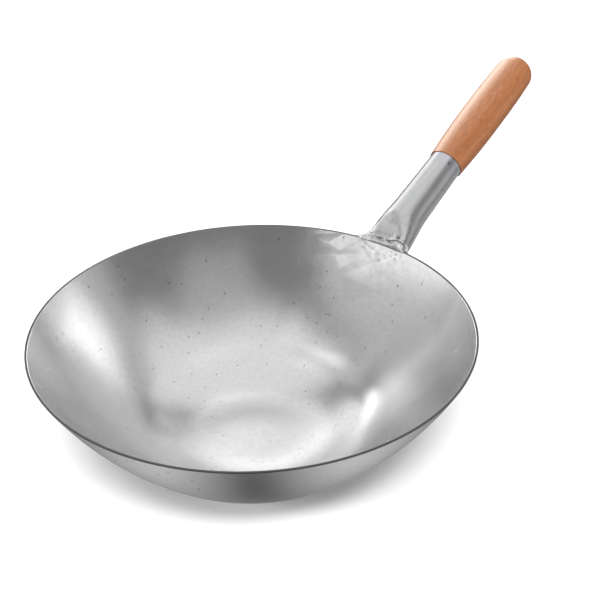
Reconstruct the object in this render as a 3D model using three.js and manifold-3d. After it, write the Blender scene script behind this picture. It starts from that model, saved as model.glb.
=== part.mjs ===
// Steel wok with a welded socket handle and a wooden grip.
// Millimetres, +Z up. The origin is the centre of the flat base, and the handle points along +X.

import * as THREE from 'three';
import { mergeVertices } from 'three/addons/utils/BufferGeometryUtils.js';
import Module from 'manifold-3d';

const wasm = await Module();
wasm.setup();

// Bowl sizes
const RIM_DIAMETER = 300;
const BOWL_HEIGHT = 100;
const BOWL_SHEET = 1.5;
const BASE_FLAT_DIAMETER = 60;
const KNUCKLE_RADIUS = 95; // outside bend between the base flat and the wall
const WALL_RADIUS = 252; // outside curve of the wall, from the knuckle to the rim

// Handle sizes, measured along its axis from the outer edge of the rim
const HANDLE_LENGTH = 215;
const HANDLE_RISE = 27.5; // degrees above level

// Socket sizes
const SOCKET_LENGTH = 90.3;
const SOCKET_SHEET = 1.2;
const SOCKET_MOUTH_DIAMETER = 27.2;
const SOCKET_NECK_DIAMETER = 29.4; // where the round tube starts to flare towards the bowl
const SOCKET_FLARE_LENGTH = 40;
const SOCKET_PRESS_LENGTH = 26; // from the rim to where the top is round again
const SOCKET_FOOT_WIDTH = 38.6;
const SOCKET_FOOT_TOP = 4; // pressed top of the foot above the handle's axis
const SOCKET_FOOT_DEPTH = 14.5; // rounded underside of the foot below the axis
const SOCKET_FOOT_SQUARENESS = 2.3; // exponent of the pressed top's curve, 2 being an ellipse
const SOCKET_PRESS_LEAN = 0.6; // share of the press that the foot's -Y side is left without
const SEAM_GAP = 1; // open butt seam along the underside

// Grip sizes
const GRIP_START_DIAMETER = 29.4;
const GRIP_BELLY_DIAMETER = 33.8;
const GRIP_BELLY_OFFSET = 60; // from the grip's shoulder to its thickest point
const GRIP_BUTT_DIAMETER = 31.8; // where the rounded butt begins
const GRIP_BUTT_LENGTH = 14;
const GRIP_EDGE_RADIUS = 0.6;
const TENON_STOP_GAP = 5; // from the tenon's end to the start of the flare
const TENON_CHAMFER = 1.5;

// Nail sizes
const NAIL_SETBACK = 5.4; // from the socket's mouth to the nail's axis
const NAIL_TURN = 41.5; // degrees from the top of the socket towards -Y
const NAIL_SHANK_DIAMETER = 1.6;
const NAIL_SHANK_LENGTH = 12;
const NAIL_HEAD_DIAMETER = 3;
const NAIL_HEAD_HEIGHT = 0.7;

// Weld size
const BEAD_RADIUS = 3.2;

// Clearance between pieces that touch or are joined
const FIT_GAP = 0.3;

// Smoothness
const BOWL_SEGMENTS = 72;
const KNUCKLE_STEPS = 7;
const WALL_STEPS = 7;
const SOCKET_SEGMENTS = 40;
const FLARE_STEPS = 10;
const GRIP_SEGMENTS = 32;
const GRIP_STEPS = 5;
const BUTT_STEPS = 6;
const EDGE_STEPS = 2;
const NAIL_SEGMENTS = 12;
const BEAD_SEGMENTS = 10;
const BEAD_STEPS = 26;
const SOLVE_STEPS = 40; // halvings when the joint between socket and bowl is searched for

// Cutters reach this far past what they cut
const CUT_MARGIN = 5;

// Derived bowl geometry. The wall's arc is tangent to the knuckle's arc and ends at the rim's outer edge.
const rimRadius = RIM_DIAMETER / 2;
const baseRadius = BASE_FLAT_DIAMETER / 2;
const wallSpan = rimRadius - baseRadius;
const wallRise = BOWL_HEIGHT - KNUCKLE_RADIUS;
const radiusStep = WALL_RADIUS - KNUCKLE_RADIUS;
const tangency = (WALL_RADIUS ** 2 - radiusStep ** 2 - wallSpan ** 2 - wallRise ** 2) / (2 * radiusStep);
const knuckleTurn = Math.atan2(wallRise, wallSpan) + Math.asin(tangency / Math.hypot(wallSpan, wallRise));
const knuckleCentre = new THREE.Vector2(baseRadius, KNUCKLE_RADIUS);
const wallCentre = new THREE.Vector2(
  baseRadius - radiusStep * Math.sin(knuckleTurn),
  KNUCKLE_RADIUS + radiusStep * Math.cos(knuckleTurn)
);

// Derived handle geometry
const handle = new THREE.Group();
handle.position.set(rimRadius, 0, BOWL_HEIGHT);
handle.rotation.y = -THREE.MathUtils.degToRad(HANDLE_RISE);
handle.updateMatrixWorld(true);
const toHandleFrame = handle.matrixWorld.clone().invert();

// Derived fits
const gripStart = SOCKET_LENGTH + FIT_GAP;
const boreRadius = Math.min(SOCKET_MOUTH_DIAMETER, SOCKET_NECK_DIAMETER) / 2 - SOCKET_SHEET;
const tenonRadius = boreRadius - FIT_GAP;
const tenonStart = SOCKET_FLARE_LENGTH + TENON_STOP_GAP;
const nailHoleRadius = NAIL_SHANK_DIAMETER / 2 + FIT_GAP;
const footTop = BOWL_HEIGHT + SOCKET_FOOT_WIDTH; // height well above the welds

// Points of an arc in the bowl's half section, from one angle to another, both measured from straight down.
function arcPoints(centre, radius, from, to, steps) {
  const points = [];
  for (let i = 0; i <= steps; i += 1) {
    const angle = from + ((to - from) * i) / steps;
    points.push(new THREE.Vector2(
      centre.x + radius * Math.sin(angle),
      centre.y - radius * Math.cos(angle)
    ));
  }
  return points;
}

// Half section of a surface parallel to the bowl's outside, from the base's centre up to the rim's level.
function bowlSection(offset) {
  const wall = WALL_RADIUS + offset;
  const rimAngle = Math.acos((wallCentre.y - BOWL_HEIGHT) / wall);
  const knuckle = arcPoints(knuckleCentre, KNUCKLE_RADIUS + offset, 0, knuckleTurn, KNUCKLE_STEPS);
  const side = arcPoints(wallCentre, wall, knuckleTurn, rimAngle, WALL_STEPS);
  return [new THREE.Vector2(0, -offset), ...knuckle, ...side.slice(1)];
}

// Radius of the bowl's outside at a height near the rim. Above the rim it stays the rim's.
function wallRadiusAt(height) {
  const drop = wallCentre.y - Math.min(height, BOWL_HEIGHT);
  return wallCentre.x + Math.sqrt(WALL_RADIUS ** 2 - drop ** 2);
}

// Solid of revolution about +Z from a half section of (radius, height) points.
function latheAboutZ(section, segments) {
  return new THREE.LatheGeometry(section, segments).rotateX(Math.PI / 2);
}

// Solid of revolution about +X from a half section of (radius, distance along X) points.
function latheAboutX(section, segments) {
  return new THREE.LatheGeometry(section, segments).rotateZ(-Math.PI / 2);
}

// Closed solid from rings of points, each ring turning the same way, with flat fans on both ends.
function loftGeometry(rings) {
  const count = rings[0].length;
  const last = rings.length - 1;
  const positions = rings.flat().flatMap((point) => point.toArray());
  const index = [];
  for (let ring = 0; ring < last; ring += 1) {
    for (let i = 0; i < count; i += 1) {
      const here = ring * count + i;
      const next = ring * count + ((i + 1) % count);
      index.push(here, next, next + count);
      index.push(here, next + count, here + count);
    }
  }
  for (let i = 1; i < count - 1; i += 1) {
    index.push(0, i + 1, i);
    index.push(last * count, last * count + i, last * count + i + 1);
  }
  const geometry = new THREE.BufferGeometry();
  geometry.setAttribute('position', new THREE.Float32BufferAttribute(positions, 3));
  geometry.setIndex(index);
  return geometry;
}

// Boolean solid from a closed geometry.
function solidFrom(geometry) {
  const bare = geometry.clone();
  bare.deleteAttribute('normal');
  bare.deleteAttribute('uv');
  const merged = mergeVertices(bare);
  const triangles = [];
  for (let i = 0; i < merged.index.count; i += 3) {
    const corners = [0, 1, 2].map((step) => merged.index.getX(i + step));
    if (new Set(corners).size === 3) {
      triangles.push(...corners);
    }
  }
  return new wasm.Manifold(new wasm.Mesh({
    numProp: 3,
    vertProperties: new Float32Array(merged.attributes.position.array),
    triVerts: new Uint32Array(triangles),
  }));
}

// Geometry from a boolean solid.
function geometryFrom(solid) {
  const mesh = solid.getMesh();
  const geometry = new THREE.BufferGeometry();
  geometry.setAttribute('position', new THREE.BufferAttribute(mesh.vertProperties, 3));
  geometry.setIndex(new THREE.BufferAttribute(mesh.triVerts, 1));
  geometry.computeVertexNormals();
  return geometry;
}

function steel(color, roughness) {
  return new THREE.MeshStandardMaterial({ color, roughness, metalness: 1 });
}

function named(name, solid, material) {
  const mesh = new THREE.Mesh(geometryFrom(solid), material);
  mesh.name = name;
  return mesh;
}

// Bowl: one sheet of even thickness, trimmed level at the rim.
function makeBowl() {
  const inside = bowlSection(-BOWL_SHEET).reverse();
  const section = [...bowlSection(0), ...inside];
  return named('wok_bowl', solidFrom(latheAboutZ(section, BOWL_SEGMENTS)), steel(0xb6b8ba, 0.34));
}

// Space that the bowl takes up, grown by a gap and filled to a height at or above the rim.
function bowlSpace(gap, top) {
  const section = bowlSection(gap);
  const rim = section[section.length - 1];
  section.push(new THREE.Vector2(rim.x, top));
  section.push(new THREE.Vector2(0, top));
  return solidFrom(latheAboutZ(section, BOWL_SEGMENTS));
}

// Half width, top, depth and squareness of the socket's outside at a distance along the handle,
// and the radius of the round tube there.
function socketShape(along) {
  const neck = SOCKET_NECK_DIAMETER / 2;
  if (along > SOCKET_FLARE_LENGTH) {
    const part = (along - SOCKET_FLARE_LENGTH) / (SOCKET_LENGTH - SOCKET_FLARE_LENGTH);
    const round = THREE.MathUtils.lerp(neck, SOCKET_MOUTH_DIAMETER / 2, part);
    return { halfWidth: round, top: round, depth: round, squareness: 2, round };
  }
  const flare = THREE.MathUtils.smoothstep(along, 0, SOCKET_FLARE_LENGTH);
  const press = THREE.MathUtils.smoothstep(along, 0, SOCKET_PRESS_LENGTH);
  return {
    halfWidth: THREE.MathUtils.lerp(SOCKET_FOOT_WIDTH / 2, neck, flare),
    top: THREE.MathUtils.lerp(SOCKET_FOOT_TOP, neck, press),
    depth: THREE.MathUtils.lerp(SOCKET_FOOT_DEPTH, neck, flare),
    squareness: THREE.MathUtils.lerp(SOCKET_FOOT_SQUARENESS, 2, press),
    round: neck,
  };
}

// Point on a surface parallel to the socket's outside, in the handle's frame.
// The angle starts at +Y and turns over the top.
function socketPoint(along, angle, offset) {
  const shape = socketShape(along);
  const across = Math.cos(angle);
  const up = Math.sin(angle);
  const power = up > 0 ? 2 / shape.squareness : 1;
  const unpressed = SOCKET_PRESS_LEAN * THREE.MathUtils.smoothstep(-across, 0, 1);
  const height = up > 0 ? THREE.MathUtils.lerp(shape.top, shape.round, unpressed) : shape.depth;
  return new THREE.Vector3(
    along,
    (shape.halfWidth + offset) * Math.sign(across) * Math.abs(across) ** power,
    (height + offset) * Math.sign(up) * Math.abs(up) ** power
  );
}

// Distance along the handle where the socket's outside meets the bowl's, at an angle round the socket.
function jointDistance(angle) {
  let inside = -2 * SOCKET_FOOT_WIDTH;
  let outside = SOCKET_FLARE_LENGTH;
  for (let i = 0; i < SOLVE_STEPS; i += 1) {
    const middle = (inside + outside) / 2;
    const point = socketPoint(middle, angle, 0).applyMatrix4(handle.matrixWorld);
    if (Math.hypot(point.x, point.y) > wallRadiusAt(point.z)) {
      outside = middle;
    } else {
      inside = middle;
    }
  }
  return outside;
}

// Point where the socket's outside meets the bowl's, in the bowl's frame.
function jointPoint(angle) {
  return socketPoint(jointDistance(angle), angle, 0).applyMatrix4(handle.matrixWorld);
}

// Solid inside a surface parallel to the socket's outside, in the handle's frame.
function socketBlank(offset, mouth) {
  const foot = jointDistance(-Math.PI / 2) - CUT_MARGIN;
  const places = [foot];
  for (let i = 0; i <= FLARE_STEPS; i += 1) {
    places.push((SOCKET_FLARE_LENGTH * i) / FLARE_STEPS);
  }
  places.push(mouth);
  const rings = places.map((along) => {
    const ring = [];
    for (let i = 0; i < SOCKET_SEGMENTS; i += 1) {
      ring.push(socketPoint(along, (2 * Math.PI * i) / SOCKET_SEGMENTS, offset));
    }
    return ring;
  });
  return solidFrom(loftGeometry(rings));
}

// Slot that leaves the socket's butt seam open along its underside.
function seamSlot() {
  const start = jointDistance(-Math.PI / 2) - 2 * CUT_MARGIN;
  const length = SOCKET_LENGTH + CUT_MARGIN - start;
  const depth = Math.max(SOCKET_FOOT_DEPTH, SOCKET_NECK_DIAMETER / 2, SOCKET_MOUTH_DIAMETER / 2) + CUT_MARGIN;
  const slot = new THREE.BoxGeometry(length, SEAM_GAP, depth);
  return solidFrom(slot.translate(start + length / 2, 0, -depth / 2));
}

// Moves a geometry modelled along +Z from the handle's axis to the nail's place in the handle's frame.
function atNail(geometry) {
  geometry.rotateX(THREE.MathUtils.degToRad(NAIL_TURN));
  return geometry.translate(SOCKET_LENGTH - NAIL_SETBACK, 0, 0);
}

// Radius at which the underside of the nail's head sits, just clear of the socket.
function nailSeat() {
  return socketShape(SOCKET_LENGTH - NAIL_SETBACK).top + FIT_GAP;
}

// Hole for the nail through the socket and into the tenon.
function nailHole() {
  const bottom = nailSeat() - NAIL_SHANK_LENGTH - FIT_GAP;
  const top = nailSeat() + CUT_MARGIN;
  const hole = new THREE.CylinderGeometry(nailHoleRadius, nailHoleRadius, top - bottom, NAIL_SEGMENTS);
  return solidFrom(atNail(hole.rotateX(Math.PI / 2).translate(0, 0, (top + bottom) / 2)));
}

// Socket: a rolled tube with an open seam, cut at its foot to fit the bowl's outside.
function makeSocket() {
  const tube = socketBlank(0, SOCKET_LENGTH)
    .subtract(socketBlank(-SOCKET_SHEET, SOCKET_LENGTH + CUT_MARGIN))
    .subtract(seamSlot())
    .subtract(nailHole())
    .subtract(bowlSpace(FIT_GAP, footTop).transform(toHandleFrame.elements));
  return named('handle_socket', tube, steel(0xaeb0b3, 0.3));
}

// Tube of weld metal along a line of points, cut clear of the socket.
function beadAlong(points) {
  const section = new THREE.Shape().absarc(0, 0, BEAD_RADIUS, 0, 2 * Math.PI);
  const tube = new THREE.ExtrudeGeometry(section, {
    curveSegments: BEAD_SEGMENTS,
    steps: BEAD_STEPS,
    extrudePath: new THREE.CatmullRomCurve3(points),
  });
  const socket = socketBlank(FIT_GAP, SOCKET_LENGTH).transform(handle.matrixWorld.elements);
  return solidFrom(tube).subtract(socket.subtract(bowlSpace(0, footTop)));
}

// Angles round the socket's foot, from one side to the other.
function footAngles(from, to) {
  const angles = [];
  for (let i = 0; i <= BEAD_STEPS; i += 1) {
    angles.push(from + ((to - from) * i) / BEAD_STEPS);
  }
  return angles;
}

// Middle of the step from the rim up to the socket's lip, at an angle round the socket.
function rimStepPoint(angle) {
  const lip = jointPoint(angle);
  return lip.setZ((lip.z + BOWL_HEIGHT) / 2);
}

// Weld along the rim: it fills the step from the rim's edge up to the socket's pressed top.
function makeRimBead() {
  const points = footAngles(0, Math.PI).map(rimStepPoint);
  const bead = beadAlong(points).subtract(bowlSpace(FIT_GAP, BOWL_HEIGHT + FIT_GAP));
  return named('rim_weld_bead', bead, steel(0x9a9c9e, 0.48));
}

// Weld on the outer wall: it runs down one side of the socket's foot, under it and up the other side,
// and stays below the ends of the rim's weld.
function makeWallBead() {
  const points = footAngles(-Math.PI, 0).map(jointPoint);
  const height = SOCKET_FOOT_WIDTH;
  const ceiling = Math.min(rimStepPoint(0).z, rimStepPoint(Math.PI).z) - BEAD_RADIUS - FIT_GAP;
  const above = new THREE.CylinderGeometry(RIM_DIAMETER, RIM_DIAMETER, height, BOWL_SEGMENTS);
  above.rotateX(Math.PI / 2).translate(0, 0, ceiling + height / 2);
  const bead = beadAlong(points).subtract(bowlSpace(FIT_GAP, footTop)).subtract(solidFrom(above));
  return named('wall_weld_bead', bead, steel(0x8f9194, 0.5));
}

// Half section of the grip: tenon, shoulder, swelling body and rounded butt.
function gripSection() {
  const bellyRadius = GRIP_BELLY_DIAMETER / 2;
  const startRadius = GRIP_START_DIAMETER / 2;
  const buttRadius = GRIP_BUTT_DIAMETER / 2;
  const belly = gripStart + GRIP_BELLY_OFFSET;
  const buttStart = HANDLE_LENGTH - GRIP_BUTT_LENGTH;
  const section = [
    new THREE.Vector2(0, tenonStart),
    new THREE.Vector2(tenonRadius - TENON_CHAMFER, tenonStart),
    new THREE.Vector2(tenonRadius, tenonStart + TENON_CHAMFER),
    new THREE.Vector2(tenonRadius, gripStart),
  ];
  for (let i = 0; i <= EDGE_STEPS; i += 1) {
    const angle = (Math.PI / 2) * (i / EDGE_STEPS);
    section.push(new THREE.Vector2(
      startRadius - GRIP_EDGE_RADIUS * (1 - Math.sin(angle)),
      gripStart + GRIP_EDGE_RADIUS * (1 - Math.cos(angle))
    ));
  }
  for (let i = 1; i <= GRIP_STEPS; i += 1) {
    const left = 1 - i / GRIP_STEPS;
    const along = belly - (GRIP_BELLY_OFFSET - GRIP_EDGE_RADIUS) * left;
    section.push(new THREE.Vector2(bellyRadius - (bellyRadius - startRadius) * left ** 2, along));
  }
  for (let i = 1; i <= GRIP_STEPS; i += 1) {
    const part = i / GRIP_STEPS;
    const along = THREE.MathUtils.lerp(belly, buttStart, part);
    section.push(new THREE.Vector2(bellyRadius - (bellyRadius - buttRadius) * part ** 3, along));
  }
  for (let i = 1; i <= BUTT_STEPS; i += 1) {
    const angle = (Math.PI / 2) * (i / BUTT_STEPS);
    const radius = i === BUTT_STEPS ? 0 : buttRadius * Math.cos(angle);
    section.push(new THREE.Vector2(radius, buttStart + GRIP_BUTT_LENGTH * Math.sin(angle)));
  }
  return section;
}

// Grip: turned wood, with its tenon in the socket.
function makeGrip() {
  const turned = solidFrom(latheAboutX(gripSection(), GRIP_SEGMENTS));
  const wood = new THREE.MeshStandardMaterial({ color: 0xbc7d50, roughness: 0.5, metalness: 0 });
  return named('wooden_grip', turned.subtract(nailHole()), wood);
}

// Nail: a round head on the socket and a shank through it into the tenon.
function makeNail() {
  const shank = NAIL_SHANK_DIAMETER / 2;
  const head = NAIL_HEAD_DIAMETER / 2;
  const seat = nailSeat();
  const section = [
    new THREE.Vector2(0, seat - NAIL_SHANK_LENGTH),
    new THREE.Vector2(shank, seat - NAIL_SHANK_LENGTH + NAIL_SHANK_DIAMETER),
    new THREE.Vector2(shank, seat),
    new THREE.Vector2(head, seat),
    new THREE.Vector2(head, seat + NAIL_HEAD_HEIGHT / 2),
    new THREE.Vector2(0, seat + NAIL_HEAD_HEIGHT),
  ];
  return named('grip_nail', solidFrom(atNail(latheAboutZ(section, NAIL_SEGMENTS))), steel(0x77797c, 0.45));
}

const wok = new THREE.Group();
handle.add(makeSocket(), makeGrip(), makeNail());
wok.add(makeBowl(), makeRimBead(), makeWallBead(), handle);

export default wok;
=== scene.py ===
import math

import bpy
import numpy as np
from mathutils import Matrix, Vector, noise


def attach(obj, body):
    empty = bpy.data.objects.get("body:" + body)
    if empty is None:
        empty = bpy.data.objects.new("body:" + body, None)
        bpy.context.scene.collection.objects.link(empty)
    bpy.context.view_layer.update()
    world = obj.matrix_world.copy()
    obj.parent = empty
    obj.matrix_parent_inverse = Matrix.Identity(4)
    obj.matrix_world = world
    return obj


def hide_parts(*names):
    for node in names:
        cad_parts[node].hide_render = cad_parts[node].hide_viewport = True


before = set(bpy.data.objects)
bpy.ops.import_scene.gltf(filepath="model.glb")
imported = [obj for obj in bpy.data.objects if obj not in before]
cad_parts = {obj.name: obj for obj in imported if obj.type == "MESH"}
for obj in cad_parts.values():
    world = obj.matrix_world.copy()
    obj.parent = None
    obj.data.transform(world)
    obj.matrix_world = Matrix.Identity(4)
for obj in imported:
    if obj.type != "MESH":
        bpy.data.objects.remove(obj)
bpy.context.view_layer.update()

# Bowl, in metres as the CAD part has it
RIM_RADIUS = 0.150
BOWL_HEIGHT = 0.100
BOWL_SHEET = 0.0015
BASE_RADIUS = 0.030
KNUCKLE_RADIUS = 0.095
WALL_RADIUS = 0.252
RIM_ROUNDING = 0.0003

# The inside's smooth bottom: reach of the smoothing, and the radii between which it fades out
BASE_EASE = 0.016
BASE_EASE_RADII = (0.060, 0.090)

# Handle: the socket from its foot on the bowl to its mouth, then the grip
FIT_GAP = 0.0003
HANDLE_LENGTH = 0.215
HANDLE_RISE = math.radians(27.5)
SOCKET_LENGTH = 0.0903
SOCKET_SHEET = 0.0012
SOCKET_MOUTH_RADIUS = 0.0136
SOCKET_NECK_RADIUS = 0.0147
SOCKET_FLARE_LENGTH = 0.040
SOCKET_PRESS_LENGTH = 0.026
SOCKET_FOOT_HALF_WIDTH = 0.0193
SOCKET_FOOT_TOP = 0.0040
SOCKET_FOOT_DEPTH = 0.0145
SOCKET_FOOT_SQUARENESS = 2.3
SOCKET_PRESS_LEAN = 0.6
SOCKET_EDGE_WIDTH = 0.0003
WING_WIDTH = 0.0050
WING_REACH = 0.011
SEAM_GAP = 0.001
GRIP_START_RADIUS = 0.0147
GRIP_BELLY_RADIUS = 0.0169
GRIP_BELLY_OFFSET = 0.060
GRIP_BUTT_RADIUS = 0.0159
GRIP_BUTT_LENGTH = 0.014
GRIP_EDGE_RADIUS = 0.0003
GRIP_SHOULDER_GAP = 0.00005
TENON_STOP_GAP = 0.005
TENON_CHAMFER = 0.0015
TENON_START = SOCKET_FLARE_LENGTH + TENON_STOP_GAP
TENON_RADIUS = SOCKET_MOUTH_RADIUS - SOCKET_SHEET - FIT_GAP
NAIL_SETBACK = 0.0054
NAIL_TURN = math.radians(41.5)
NAIL_HEAD_RADIUS = 0.0015
NAIL_HEAD_HEIGHT = 0.0007
NAIL_BRIM_SHARE = 0.35
NAIL_SHANK_RADIUS = 0.0008
NAIL_SHANK_LENGTH = 0.012
NAIL_TIP_SHARE = 0.3
NAIL_SEAT_GAP = FIT_GAP / 3

# Rim weld. A pair of foot or bulge sizes is for the weld's ends and for where it is full, a pair of head
# sizes for its plain stretches and for the crease in its middle. It runs in and out over angles round the
# socket, in radians.
RIM_WELD_END = math.radians(2)
RIM_WELD_RUN_IN = 0.6
RIM_WELD_RUN_OUT = 0.3
RIM_WELD_LEAST_RISE = 0.0004
RIM_WELD_FOOT_IN = (0.0012, 0.0022)
RIM_WELD_FOOT_DROP = (0.0001, 0.0010)
RIM_WELD_BULGE_IN = (0.0012, 0.0024)
RIM_WELD_BULGE_RISE = 0.65
RIM_WELD_HEAD_OUT = (0.0022, 0.0013)
RIM_WELD_HEAD_UP = (0.0007, 0.0001)
RIM_WELD_BACK_OUT = 0.0012
RIM_WELD_BACK_DROP = 0.0003
RIM_WELD_FOOT_BACK = 0.0025
RIM_WELD_PUSH_IN = 0.75
RIM_WELD_PUSH_UP = 0.66
CREASE_START = (-0.012, -0.006)
CREASE_END = (0.010, 0.016)
CREASE_UNEVENNESS = 0.25

# Wall weld. A pair gives the size on the -Y side and on the +Y side.
WALL_WELD_PAST_TOP = math.radians(6)
WALL_WELD_SIDES = (-0.02, 0.02)
WALL_WELD_UP = (0.0050, 0.0040)
WALL_WELD_OUT = (0.0036, 0.0030)
WALL_WELD_HOLLOW = 0.0012
WALL_WELD_SINK = 0.0001
WALL_WELD_ROOT = 0.0004
WALL_WELD_PROBE = 0.004

# Unevenness of hand-finished sheet and welds
BOWL_WAVE = 0.00014
BOWL_WAVE_LENGTH = 0.055
BOWL_WAVE_HEIGHTS = (0.004, 0.030)
WELD_DENT = 0.00012
WELD_DENT_LENGTH = 0.009
WELD_DENT_REACH = 0.030
FINE_DENT_SHARE = 0.5
FOOT_DENT = 0.0005
FOOT_DENT_LENGTH = 0.006
FOOT_DENT_REACH = 0.020
FOOT_DENT_HEIGHTS = (-0.004, 0.004)
PIT_DEPTH = 0.0008
WELD_RIPPLE = 0.00010
WELD_RIPPLE_LENGTH = 0.0030
WELD_MOTTLE = 0.00020
WELD_MOTTLE_LENGTH = 0.0040
WAVE_SEED = 3.1
DENT_SEED = 8.2
FINE_DENT_SEED = 5.4
FOOT_SEED = 4.6
WELD_SEED = 6.3
CREASE_SEED = 2.2

# Small pits in the socket's foot: place in the handle's frame and radius
PITS = [((0.0049, -0.0110, 0.0071), 0.0017), ((0.0031, 0.0147, 0.0036), 0.0008)]

# Flat marks that the hammer left in the wall under the weld: degrees round the bowl, drop below the rim,
# half length, half width, turn in degrees, and how far the sheet is pushed out in the middle
HAMMER_MARKS = [
    (6.0, 0.0052, 0.0085, 0.0030, -24, 0.00018),
    (11.5, 0.0140, 0.0100, 0.0060, 40, -0.00042),
    (0.8, 0.0094, 0.0045, 0.0030, 20, 0.00020),
    (-3.3, 0.0043, 0.0030, 0.0022, 0, -0.00016),
    (-5.1, 0.0050, 0.0024, 0.0022, 10, 0.00016),
    (-7.0, 0.0041, 0.0026, 0.0020, 0, -0.00015),
    (19.0, 0.0090, 0.0140, 0.0070, 10, 0.00036),
    (4.0, 0.0300, 0.0160, 0.0110, 30, 0.00042),
]

# Mesh fineness. A crowding above 1 brings the steps closer together near the rim or the foot.
BOWL_FINE_HALF = math.radians(24)
BOWL_FINE_STEP = math.radians(0.3)
BOWL_COARSE_STEP = math.radians(1.5)
WALL_STEPS = 80
WALL_CROWDING = 1.4
KNUCKLE_STEPS = 36
BASE_STEPS = 10
RIM_EDGE_STEPS = 5
EASE_SAMPLES = 15
SOCKET_RINGS = 130
SOCKET_CROWDING = 1.5
SOCKET_SIDES = 128
WELD_STEPS = 150
RIM_WELD_POINTS = 14
WALL_WELD_POINTS = 16
GRIP_SIDES = 96
GRIP_EDGE_STEPS = 6
GRIP_BODY_STEPS = 25
GRIP_BUTT_STEPS = 22
NAIL_SIDES = 32
NAIL_DOME_STEPS = 8
SOLVE_STEPS = 40
SHARP_ANGLE = math.radians(40)
BEVEL_ANGLE = math.radians(50)
BEVEL_SEGMENTS = 2

# Where the steel's surface changes. Each pair is where a change starts and where it is complete: distances
# from the joint at the rim, depths under the rim or inside its radius, distances along the handle, heights
# over the rim, and places across the rim weld.
MARKS_REACH = (0.028, 0.008)
BARE_REACH = (0.017, 0.021)
RIM_SHADE_DEPTHS = (0.0005, 0.0002)
CUT_DEPTHS = (0.0010, 0.0005)
CUT_INSETS = (0.0017, 0.0015)
MOUTH_TINT_LENGTH = 0.012
FOOT_STAIN_ALONG = (0.026, 0.006)
# Heights and places of the rim weld's dark scale, which is also painted shade in the crease at its top
SCALE_AND_SHADE_HEIGHTS = (0.0020, 0.0036)
SCALE_AND_SHADE_MIDDLE = 0.002
SCALE_AND_SHADE_ASIDE = (0.012, 0.008)
GROUND_ACROSS = (-0.010, -0.014)

# Greys and colours of the surfaces
BOWL_TONES = (0.68, 0.77)
BOWL_RING_TONE = 0.56
BOWL_GRAIN_TONE = 0.50
BOWL_MARK_TONE = 0.93
BOWL_SPECK_TONE = 0.27
RIM_SHADE_TONE = 0.45
CUT_TONE = 0.12
SOCKET_COLOURS = ((0.50, 0.505, 0.51), (0.60, 0.605, 0.61))
SOCKET_STREAK_COLOUR = (0.42, 0.42, 0.43)
SOCKET_BAND_COLOUR = (0.38, 0.38, 0.39)
MOUTH_TINT = (0.50, 0.50, 0.60)
FOOT_STAIN_TONE = 0.34
PIT_SHADE_TONE = 0.06
WELD_TONES = (0.50, 0.74)
SCALE_AND_CREASE_SHADE_TONE = 0.14
GROUND_TONE = 0.93
WOOD_BAND_COLOURS = ((0.63, 0.210, 0.064), (0.77, 0.295, 0.104))
WOOD_FIBRE_COLOUR = (0.48, 0.145, 0.048)
WOOD_MOTTLE_COLOUR = (0.46, 0.140, 0.047)
WOOD_FLECK_COLOUR = (0.88, 0.46, 0.24)
WOOD_PORE_COLOUR = (0.34, 0.084, 0.029)
NAIL_TONES = (0.26, 0.42)
FLOOR_TONE = 0.93

# Camera and studio, as seen in the photograph: x to its right, y away from the camera, z up
HANDLE_AZIMUTH = math.radians(48.74)
CAMERA_PLACE = (0.03152, -0.50945, 0.42136)
CAMERA_PITCH = math.radians(30.84)
CAMERA_ROLL = math.radians(0.6245)
CAMERA_LENS = 53.52
CAMERA_SENSOR = 36.0
FLOOR_SIZE = 9.0
SHINE_TINT = (1, 1, 0.88)

# World light from above and the white behind the floor. The light from below is dark within LOW_SIDES[0]
# of LOW_MIDDLE and bright beyond LOW_SIDES[1], measured along the photograph's x. Over LOW_HEIGHTS it turns
# into LOW_FAR, and over LOW_END into the light from above. These are components of a direction of length 1.
WORLD_LIGHT = 0.212
BACKGROUND = 1.0
LOW_DARK = 0.12
LOW_BRIGHT = 0.70
LOW_FAR = 0.30
LOW_MIDDLE = -0.03
LOW_SIDES = (0.03, 0.28)
LOW_HEIGHTS = (-0.92, -0.72)
LOW_END = (-0.56, -0.35)

# Ceiling panels over the bowl: name, centre, width, depth and turn in degrees, all as seen in a plane at
# unit height, and radiance
CEILING_HEIGHT = 3.0
CEILINGS = [
    ("ceiling_panel", (0.42, 0.13), 1.80, 1.26, 19.3, 0.77),
    ("ceiling_fill", (0.39, -0.41), 1.02, 2.00, 16.4, 0.25),
]

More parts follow.
